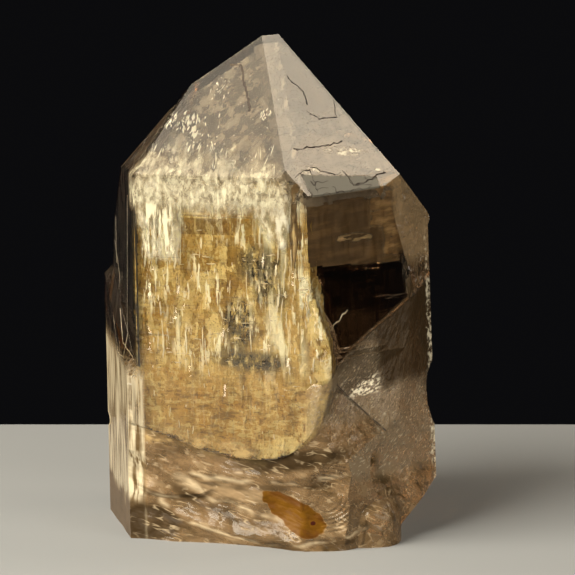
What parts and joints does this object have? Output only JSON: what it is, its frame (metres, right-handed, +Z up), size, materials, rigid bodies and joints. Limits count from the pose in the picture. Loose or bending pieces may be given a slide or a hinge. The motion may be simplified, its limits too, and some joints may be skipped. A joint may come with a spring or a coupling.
{
  "type": "smoky quartz crystal point",
  "caption": "Broken-off point of smoky quartz: a stout six-sided crystal with a slanting tip, standing on its broken base.",
  "frame": {"origin": "middle of the base, on the surface it stands on", "axes": "+Z up along the crystal, -Y towards the widest face"},
  "size_m": [0.0486, 0.0448, 0.0719],
  "materials": {
    "smoky_quartz": "clear to frosted"
  },
  "bodies": {
    "root": {"smoky_quartz_point": "smoky_quartz"}
  },
  "joints": []
}
